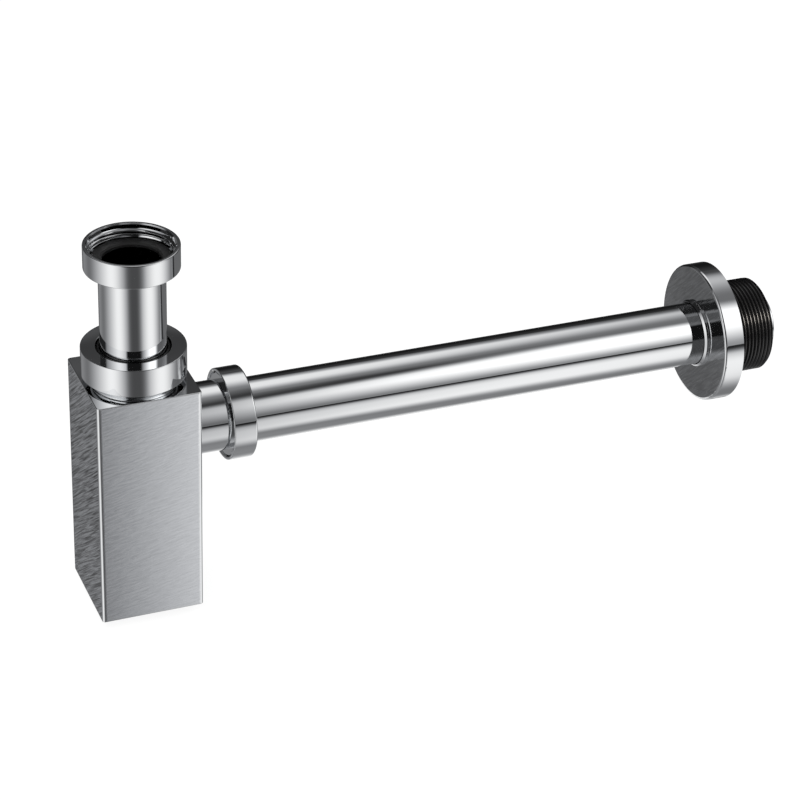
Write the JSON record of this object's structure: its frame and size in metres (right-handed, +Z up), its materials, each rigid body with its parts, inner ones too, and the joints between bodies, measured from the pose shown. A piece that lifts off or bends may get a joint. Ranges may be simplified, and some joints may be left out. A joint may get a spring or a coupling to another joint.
{
  "type": "bottle trap",
  "caption": "Chrome washbasin bottle trap with a square upright body, threaded top inlet, straight outlet pipe, round wall rosette and black threaded wall adapter.",
  "frame": {"origin": "seat of the inlet union on the inlet axis: the top of the inlet washer, where the end of the basin waste rests", "axes": "+Z up along the inlet, out of the inlet nut; +X along the outlet pipe towards the wall; -Y is the side the picture is taken from"},
  "size_m": [0.3643, 0.071, 0.1913],
  "materials": {
    "brushed_chrome": "chrome plated brass, side faces finely brushed, edges polished",
    "chrome": "mirror chrome plated brass",
    "rubber": "black moulded rubber",
    "black_plastic": "black moulded plastic"
  },
  "bodies": {
    "trap_body": {"trap_body": "brushed_chrome", "neck_sealing_ring": "rubber", "outlet_sealing_ring": "rubber"},
    "neck_slip_washer": {"neck_slip_washer": "black_plastic"},
    "neck_nut": {"neck_nut": "chrome"},
    "inlet_tube": {"inlet_tube": "chrome", "inlet_washer": "rubber"},
    "inlet_nut": {"inlet_nut": "chrome"},
    "outlet_slip_washer": {"outlet_slip_washer": "black_plastic"},
    "outlet_nut": {"outlet_nut": "chrome"},
    "outlet_pipe": {"outlet_pipe": "chrome"},
    "wall_rosette": {"wall_rosette": "chrome", "rosette_grip_ring": "rubber"},
    "adapter_o_ring": {"adapter_o_ring": "rubber"},
    "wall_adapter": {"wall_adapter": "black_plastic"},
    "plug_gasket": {"plug_gasket": "rubber"},
    "clean_out_plug": {"clean_out_plug": "chrome"}
  },
  "joints": [
    {"name": "inlet_tube_slide", "type": "slide", "parent": "trap_body", "child": "inlet_tube", "axis": [0, 0, 1], "range_m": [-0.014, 0.04]},
    {"name": "inlet_nut_turn", "type": "hinge", "parent": "inlet_tube", "child": "inlet_nut", "pos_m": [0, 0, 0], "axis": [0, 0, 1], "continuous": true},
    {"name": "neck_nut_travel", "type": "slide", "parent": "trap_body", "child": "neck_slip_washer", "axis": [0, 0, 1], "range_m": [0, 0.00693]},
    {"name": "neck_nut_turn", "type": "hinge", "parent": "neck_slip_washer", "child": "neck_nut", "pos_m": [0, 0, -0.0538], "axis": [0, 0, 1], "range_deg": [0, 1080]},
    {"name": "outlet_nut_travel", "type": "slide", "parent": "trap_body", "child": "outlet_slip_washer", "axis": [1, 0, 0], "range_m": [0, 0.00578]},
    {"name": "outlet_nut_turn", "type": "hinge", "parent": "outlet_slip_washer", "child": "outlet_nut", "pos_m": [0.049, 0, -0.0932], "axis": [1, 0, 0], "range_deg": [0, 900]},
    {"name": "outlet_pipe_slide", "type": "slide", "parent": "trap_body", "child": "outlet_pipe", "axis": [1, 0, 0], "range_m": [-0.008, 0.012]},
    {"name": "rosette_slide", "type": "slide", "parent": "outlet_pipe", "child": "wall_rosette", "axis": [1, 0, 0], "range_m": [-0.23, 0]},
    {"name": "adapter_slide", "type": "slide", "parent": "outlet_pipe", "child": "adapter_o_ring", "axis": [1, 0, 0], "range_m": [0, 0.0044]},
    {"name": "adapter_turn", "type": "hinge", "parent": "adapter_o_ring", "child": "wall_adapter", "pos_m": [0.32, 0, -0.0932], "axis": [1, 0, 0], "continuous": true},
    {"name": "plug_travel", "type": "slide", "parent": "trap_body", "child": "plug_gasket", "axis": [0, 0, 1], "range_m": [-0.00451, 0]},
    {"name": "plug_turn", "type": "hinge", "parent": "plug_gasket", "child": "clean_out_plug", "pos_m": [0, 0, -0.18], "axis": [0, 0, 1], "range_deg": [-1080, 0]}
  ],
  "couplings": [
    {"joint": "neck_nut_travel", "follows": "neck_nut_turn", "m_per_rad": 0.00036749},
    {"joint": "outlet_nut_travel", "follows": "outlet_nut_turn", "m_per_rad": 0.00036749},
    {"joint": "plug_travel", "follows": "plug_turn", "m_per_rad": 0.00023873}
  ]
}
